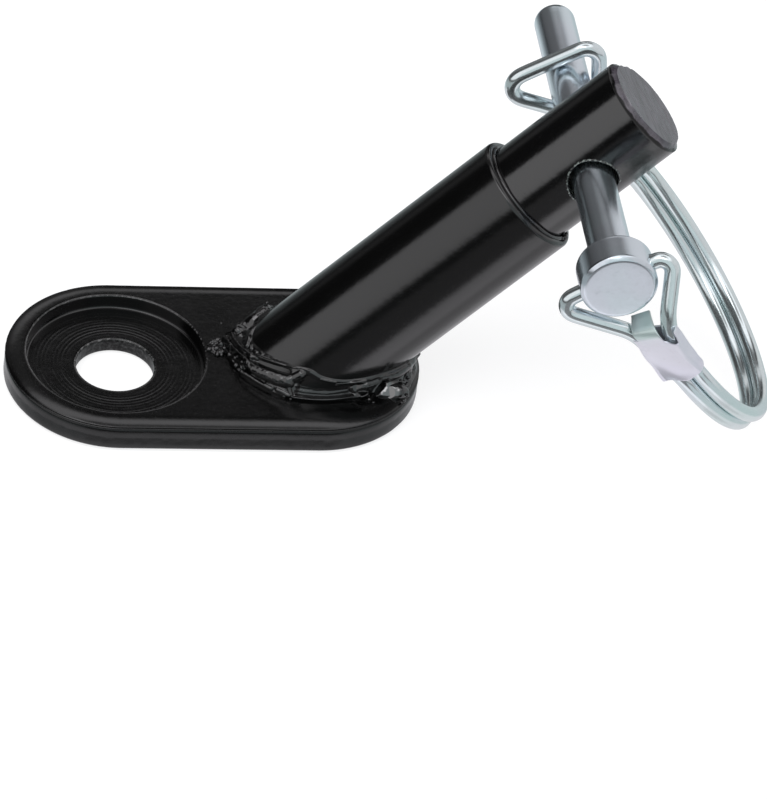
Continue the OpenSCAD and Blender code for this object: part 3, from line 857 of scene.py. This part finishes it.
def corner(a, p, b, r, seg):
    u, v = a - p, b - p
    la, lb = np.linalg.norm(u), np.linalg.norm(v)
    u, v = u / la, v / lb
    ang = math.acos(max(-1, min(1, u @ v)))
    t = min(r / math.tan(ang / 2), 0.49 * la, 0.49 * lb)
    q = t * math.tan(ang / 2)
    c = p + (u + v) / np.linalg.norm(u + v) * q / math.sin(ang / 2)
    s0, e0 = p + u * t - c, p + v * t - c
    om = math.acos(max(-1, min(1, (s0 @ e0) / (q * q))))
    return [c + (math.sin((1 - k / seg) * om) * s0 + math.sin(k / seg * om) * e0) / math.sin(om) for k in range(seg + 1)]


def ring_pt(k, s, n=30):
    a = math.radians(184 - 186 * k / n)
    return place([RING_Y + RING_R * math.cos(a), RING_OUT + RING_R * math.sin(a), HALF_GAP * s])


def fill(pts, step=0.35):
    """Points added along straight stretches, so that rings stay even."""
    out = [pts[0]]
    for a, b in zip(pts[:-1], pts[1:]):
        m = max(1, int(math.ceil(np.linalg.norm(b - a) / step)))
        out += [a + (b - a) * k / m for k in range(1, m + 1)]
    return out


def relax(p, rounds=30, keep=3):
    p = np.array(p)
    for _ in range(rounds):
        q = p.copy()
        q[keep:-keep] = 0.25 * p[keep - 1:-keep - 1] + 0.5 * p[keep:-keep] + 0.25 * p[keep + 1:(-keep + 1) or None]
        p = q
    return p


LEG_OUT = [place([HEAD_MID, 0, 9.1]), place([HEAD_MID, 0.3, -10.9])]
LEG_IN = [place([-35.0, 9.0, 2.35]), place([-31.8, 9.0, -2.35])]
LOOP_IN = [place([17.6, 7.6, HALF_GAP]), place([17.6, 7.6, -HALF_GAP])]
LOOP_OUT = [place([17.5, -4.5, 7.0]), place([17.5, -4.5, -11.6])]


def half_path(i):
    s = 1 if i == 0 else -1
    ring = [ring_pt(k * 30 / 150, s) for k in range(151)]
    start = place([HEAD_MID, 0, 3.0 * s])
    mid = place([17.5, -4.5, 0.0])
    pts = [start] + corner(start, LEG_OUT[i], LEG_IN[i], 2.6, 22) + corner(LEG_OUT[i], LEG_IN[i], ring[0], 8, 10) + ring
    pts += corner(ring[-1], LOOP_IN[i], LOOP_OUT[i], 8, 10) + corner(LOOP_IN[i], LOOP_OUT[i], mid, 2.9, 22) + [mid]
    return pts


def bail():
    a, b = half_path(0), half_path(1)
    pts = fill(a + b[::-1][1:], 0.35)
    # drop points that sit on each other
    keep = [pts[0]]
    for p in pts[1:]:
        if np.linalg.norm(p - keep[-1]) > 0.12:
            keep.append(p)
    path = relax(keep, 10, 8)
    o = sweep(path, WIRE_R - 0.006, [0, 1, 0], n=32, name="bail")
    return o, path


# ---------------------------------------------------------------- clip
def clip():
    n_u, n_k = 44, 96
    A0, B0 = LEG_IN[0], LEG_IN[1]
    A1, B1 = ring_pt(0, 1), ring_pt(0, -1)
    V_out, V_in = [], []
    for i in range(n_u):
        u0 = i / (n_u - 1)
        for_k = []
        a_, b_ = A0 * (1 - u0) + A1 * u0, B0 * (1 - u0) + B1 * u0
        t = (A1 + B1 - A0 - B0)
        t /= np.linalg.norm(t)
        nn = a_ - b_
        nn -= t * (nn @ t)
        hw0 = np.linalg.norm(nn) / 2
        nn /= np.linalg.norm(nn)
        mm = np.cross(t, nn)
        for k in range(n_k):
            ang = 2 * math.pi * k / n_k
            x, y = math.cos(ang), math.sin(ang)
            # the ends are sheared at a slant, with a relief cut round the upper strand
            e0 = 0.02 + 0.03 * x - 0.015 * math.cos(2 * ang) + 0.20 * float(smooth((x - 0.05) / 0.85) * smooth((y - 0.20) / 0.25))
            e1 = 0.985 - 0.035 * x - 0.22 * float(smooth(-x * 2.4))
            u = e0 + (e1 - e0) * u0
            a_, b_ = A0 * (1 - u) + A1 * u, B0 * (1 - u) + B1 * u
            c = (a_ + b_) / 2
            hw = np.linalg.norm((a_ - b_) - t * ((a_ - b_) @ t)) / 2
            waist = 1 - 0.05 * math.exp(-((u - 0.82) / 0.10) ** 2)
            sq = 1.0 / max(abs(x), abs(y)) ** 0.35
            lean_in = 1.15 * (1 - float(smooth(u / 0.45))) - 0.85 * float(smooth((u - 0.45) / 0.5))
            stand = lean_in * min(1.0, -x * 2.6) if x < 0 else 0.42 * (1 - float(smooth((u - 0.1) / 0.5))) * float(smooth((x - 0.3) / 0.5))
            for wall, V in ((0.365, V_out), (0.03, V_in)):
                r = (WIRE_R + wall) * waist
                xs = math.copysign(min(1.0, abs(x) * 2.6) * hw, x) + stand if abs(x) > 1e-9 else 0.0
                p = c + nn * (xs + r * x * min(sq, 1.04)) + mm * r * max(-0.94, min(0.94, y * 1.06))
                V.append(p)
    V_out, V_in = np.array(V_out), np.array(V_in)
    cols = n_k
    rows = [V_out[i * cols:(i + 1) * cols] for i in range(n_u)]
    first, last = rows[0], rows[-1]
    inner = [V_in[i * cols:(i + 1) * cols] for i in range(n_u)]
    # rounded sheet edges between the outer and the inner skin
    def edge(o_, i_, sgn):
        m = (o_ + i_) / 2
        t = (A1 + B1 - A0 - B0)
        t = t / np.linalg.norm(t)
        half = np.linalg.norm(o_ - i_, axis=1)[:, None] / 2
        d = (o_ - i_) / (2 * half + 1e-9)
        return [m + d * half * math.cos(a) + sgn * t * half * 0.55 * math.sin(a) for a in (0.35, 0.8, 1.57, 2.35, 2.8)]
    loop = rows + edge(last, inner[-1], 1) + inner[::-1] + edge(inner[0], first, -1)
    v = np.concatenate(loop)
    o = make("clip_body", v, grid_faces(len(loop), cols, wrap_r=True), 50)
    return o


def clip_tab():
    """The tongue of the clip, bent back between the two legs on the head's side."""
    # centre line at the left edge in [along the pin, out from the pin], and how far the sheet leans across its width
    path = [(-33.9, 10.4, .62), (-33.98, 9.8, .60), (-34.08, 9.2, .56), (-34.2, 8.6, .50), (-34.22, 8.1, .42), (-34.1, 7.72, .36), (-33.85, 7.50, .32), (-33.4, 7.40, .305),
            (-32.8, 7.36, .29), (-32.0, 7.34, .26), (-31.3, 7.36, .23), (-30.8, 7.39, .21), (-30.3, 7.42, .21)]
    p = np.array(path)
    p = np.array([p[k] + (p[k + 1] - p[k]) * m / 4 for k in range(len(p) - 1) for m in range(4)] + [p[-1]])
    for _ in range(6):
        p[1:-1] = 0.25 * p[:-2] + 0.5 * p[1:-1] + 0.25 * p[2:]
    d = np.gradient(p[:, :2], axis=0)
    d /= np.linalg.norm(d, axis=1)[:, None]
    nrm = np.stack([-d[:, 1], d[:, 0]], 1)
    th = 0.22
    V = []
    for i in range(len(p)):
        u = i / (len(p) - 1)
        w0 = -2.0 + 0.55 * float(smooth((u - 0.4) / 0.6))
        w1 = 1.6 - 0.10 * float(smooth((u - 0.45) / 0.5))
        ring = []
        # a flat section with rounded edges
        for a in np.linspace(-90, 90, 7):
            ring.append((w1 - th + th * math.cos(math.radians(a)), th * math.sin(math.radians(a))))
        for a in np.linspace(90, 270, 7):
            ring.append((w0 + th + th * math.cos(math.radians(a)), th * math.sin(math.radians(a))))
        for w, h in ring:
            q = p[i, :2] + nrm[i] * h
            V.append(place([q[0] - p[i, 2] * (w + 2.0), q[1], w]))
    c = 14
    v = np.array(V)
    f = grid_faces(len(p), c)
    f.append(tuple(range(c))[::-1])
    o = (len(p) - 1) * c
    f.append(tuple(o + j for j in range(c)))
    return make("clip_tab", v, f, 50)


# ================================================================ build
P_PLATE = plate()
P_TUBE = tube()
P_POST, rims = post()
join_into(P_POST, *rims)
P_WELD = base_weld()
join_into(P_WELD, spatter(), pool())
P_SEAL = rim_weld()
P_PIN = lock_pin()
P_BAIL, BAIL_PATH = bail()
P_CLIP = clip()
join_into(P_CLIP, clip_tab())

ZPIN = zinc("zinc_pin", base=(0.77, 0.825, 0.89), rough=0.235, stretch=(1, 0.03, 1), streak=0.5, mottle=0.4)
ZWIRE = zinc("zinc_wire", base=(0.79, 0.86, 0.875), rough=0.165, streak=0.5, mottle=0.4, metal=0.93)
ZCLIP = zinc("zinc_clip", base=(0.79, 0.785, 0.86), rough=0.38, streak=0.6, mottle=0.8, metal=0.72, tongue=True)

for o, body, mat, slot, *nodes in (
        (P_PLATE, "bracket", PLATE_PAINT, "black_paint", "mounting_plate"),
        (P_TUBE, "bracket", BLACK, "black_paint", "socket_tube"),
        (P_POST, "bracket", BLACK_POST, "black_post", "coupling_post"),
        (P_WELD, "bracket", WELD, "weld", "base_weld"),
        (P_SEAL, "bracket", WELD, "weld", "rim_weld"),
        (P_PIN, "pin", ZPIN, "zinc", "lock_pin"),
        (P_BAIL, "bail", ZWIRE, "wire_zinc", "bail_wire", "bail_loop"),
        (P_CLIP, "bail", ZCLIP, "clip_zinc", "bail_clip")):
    o.data.materials.clear()
    o.data.materials.append(mat)
    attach(o, body)
    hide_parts(*nodes)
for o, nm in ((P_PLATE, "mounting_plate_finish"), (P_TUBE, "socket_tube_finish"), (P_POST, "coupling_post_finish"), (P_WELD, "base_weld_finish"),
              (P_SEAL, "rim_weld_finish"), (P_PIN, "lock_pin_finish"), (P_BAIL, "wire_bail_finish"), (P_CLIP, "bail_clip_finish")):
    o.name = nm


# ---------------------------------------------------------------- stage and light
def stage():
    me = bpy.data.meshes.new("floor")
    s = 2.5
    me.from_pydata([(-s, -s, -0.0003), (s, -s, -0.0003), (s, s, -0.0003), (-s, s, -0.0003)], [], [(0, 1, 2, 3)])
    fl = bpy.data.objects.new("floor", me)
    bpy.context.scene.collection.objects.link(fl)
    m = bpy.data.materials.new("floor")
    m.use_nodes = True
    k = Nodes(m.node_tree)
    nt = m.node_tree
    nt.nodes.clear()
    out = nt.nodes.new("ShaderNodeOutputMaterial")
    em = nt.nodes.new("ShaderNodeEmission")
    em.inputs[0].default_value, em.inputs[1].default_value = rgb(1, 1, 1), 0.80
    df = nt.nodes.new("ShaderNodeBsdfDiffuse")
    df.inputs[0].default_value = rgb(0.30, 0.30, 0.305)
    ad = nt.nodes.new("ShaderNodeAddShader")
    nt.links.new(em.outputs[0], ad.inputs[0])
    nt.links.new(df.outputs[0], ad.inputs[1])
    nt.links.new(ad.outputs[0], out.inputs[0])
    me.materials.append(m)
    fl.visible_glossy = False
    # a pale dome behind everything, seen by the camera only
    bm = bmesh.new()
    bmesh.ops.create_uvsphere(bm, u_segments=48, v_segments=24, radius=2.4)
    dm = bpy.data.meshes.new("backdrop")
    bm.to_mesh(dm)
    bm.free()
    dome = bpy.data.objects.new("backdrop", dm)
    bpy.context.scene.collection.objects.link(dome)
    m2 = bpy.data.materials.new("backdrop")
    m2.use_nodes = True
    m2.node_tree.nodes.clear()
    out = m2.node_tree.nodes.new("ShaderNodeOutputMaterial")
    em = m2.node_tree.nodes.new("ShaderNodeEmission")
    em.inputs[0].default_value, em.inputs[1].default_value = rgb(0.97, 0.98, 1.0), 0.93
    m2.node_tree.links.new(em.outputs[0], out.inputs[0])
    dm.materials.append(m2)
    for a in ("visible_diffuse", "visible_glossy", "visible_transmission", "visible_volume_scatter", "visible_shadow"):
        setattr(dome, a, False)


def studio():
    """Soft boxes, a white table and a dark room, as directions of the sky."""
    w = bpy.data.worlds.new("studio")
    bpy.context.scene.world = w
    w.use_nodes = True
    nt = w.node_tree
    k = Nodes(nt)
    nt.nodes.clear()
    out = nt.nodes.new("ShaderNodeOutputWorld")
    bg = nt.nodes.new("ShaderNodeBackground")
    tc = nt.nodes.new("ShaderNodeTexCoord")
    sx = nt.nodes.new("ShaderNodeSeparateXYZ")
    nt.links.new(tc.outputs["Generated"], sx.inputs[0])
    x, y, z = sx.outputs
    deg = 180 / math.pi
    el = k.mul(k.math("ARCSINE", k.math("MAXIMUM", k.math("MINIMUM", z, 0.9999), -0.9999)), deg)
    az = k.mul(k.math("ARCTAN2", x, y), deg)          # 0 at +Y, 90 at +X, -90 at -X, 180 at -Y
    azf = k.mul(k.math("ARCTAN2", k.mul(x, -1.0), k.mul(y, -1.0)), deg)   # 0 at -Y, 90 at -X, -90 at +X
    # the white table: bright under the part, darker towards the camera's side and the far left
    low = k.step(el, -32, -40)
    mid = k.band(el, -40, -32, -7, -3)
    front = k.band(azf, -34, -26, 26, 36)
    far_left = k.band(az, -62, -48, -8, 4)
    slope = k.step(el, -8, -36)
    side = k.add(0.40, k.mul(k.step(az, 0, 30), 0.20))
    side = k.mul(side, k.sub(1.0, k.mul(k.mul(k.band(az, -12, 0, 14, 26), k.step(el, -26, -14)), 0.75)))
    mid_l = k.add(k.mul(front, 0.17), k.mul(k.sub(1.0, front), side))
    mid_l = k.add(k.mul(k.sub(1.0, far_left), mid_l), k.mul(far_left, k.add(0.16, k.mul(slope, 0.6))))
    low_l = k.add(0.74, k.mul(k.mul(k.band(azf, -55, -35, 55, 75), k.step(el, -62, -52)), 0.26))
    low_l = k.sub(low_l, k.mul(k.mul(k.band(az, 78, 95, 140, 155), k.step(el, -50, -58)), 0.14))
    L = k.add(k.mul(low, low_l), k.mul(mid, mid_l))
    # above the table's edge: a large soft box at the left front, pale walls, a dark room behind left, a dark ceiling
    up = k.step(el, -7, -3)
    low_back = k.mul(k.step(az, 26, 16), k.step(el, 27, 20))      # a dark corner of the room behind the plate
    left_front = k.mul(k.band(azf, 29, 37, 90, 97), k.band(el, 3.5, 7, 50, 60))
    right_back = k.mul(k.band(az, -24, 3, 100, 120), k.math("MAXIMUM", k.step(el, 38, 34), k.mul(k.step(az, 36, 48), k.step(el, 72, 60))))
    right_back = k.mul(right_back, k.sub(1.0, low_back))
    right_front = k.mul(k.band(azf, -95, -75, -40, -30), k.band(el, -4, 4, 60, 70))
    lift = k.mul(k.step(azf, -8, 6), 7.0)                        # the front wall starts higher on its left half
    front_up = k.mul(k.band(azf, -42, -30, 30, 42), k.band(k.sub(el, lift), 0, 5, 100, 101))
    front_up = k.mul(front_up, k.step(el, 70, 60))
    rear_low = k.mul(k.band(az, -46, -36, 0, 10), k.band(el, -4, 6, 34, 42))
    rear_up = k.mul(k.band(az, -40, -20, 0, 8), k.band(el, 30, 44, 50, 60))
    top = k.mul(k.step(el, 48, 62), k.sub(1.0, k.mul(k.step(el, 72, 79), 0.72)))
    sky = k.math("MAXIMUM", k.mul(left_front, 0.92), k.mul(right_back, 0.66))
    sky = k.math("MAXIMUM", sky, k.mul(right_front, 0.62))
    sky = k.math("MAXIMUM", sky, k.mul(front_up, 0.66))
    sky = k.add(k.add(0.02, sky), k.math("MAXIMUM", k.mul(rear_up, 0.10), k.mul(rear_low, 0.10)))
    spot = k.mul(k.band(azf, -10, 5, 75, 90), k.band(el, 52, 60, 72, 80))
    sky = k.math("MAXIMUM", sky, k.add(k.mul(top, 1.15), k.mul(spot, 1.5)))
    L = k.add(L, k.mul(up, sky))
    k.put(bg, "Strength", L)
    # a little colour: lavender from the table, blue-green from the walls
    cool = k.mix(k.step(el, -30, 0), rgb(0.975, 0.965, 1.0), rgb(0.99, 0.985, 1.0))
    cool = k.mix(k.math("MAXIMUM", front_up, k.mul(mid, k.sub(1.0, front))), cool, rgb(0.88, 0.98, 1.0))
    k.put(bg, "Color", k.mix(top, cool, rgb(0.985, 0.975, 1.0)))
    nt.links.new(bg.outputs[0], out.inputs[0])
    w.cycles.sampling_method = "MANUAL"
    w.cycles.sample_map_resolution = 1024


def lamp():
    ld = bpy.data.lights.new("key", "AREA")
    ld.shape, ld.size, ld.size_y = "RECTANGLE", 0.9, 0.9
    ld.energy = 4.2
    ld.color = (1, 1, 1)
    o = bpy.data.objects.new("key", ld)
    bpy.context.scene.collection.objects.link(o)
    o.location = (-0.25, -0.35, 0.95)
    o.rotation_euler = (Vector((0.04, 0, 0)) - Vector(o.location)).to_track_quat("-Z", "Y").to_euler()
    o.visible_glossy = False


stage()
studio()
lamp()
sc = bpy.context.scene
sc.view_settings.view_transform = "Standard"
sc.view_settings.look = "None"
sc.view_settings.exposure = 0.0
sc.view_settings.gamma = 1.0
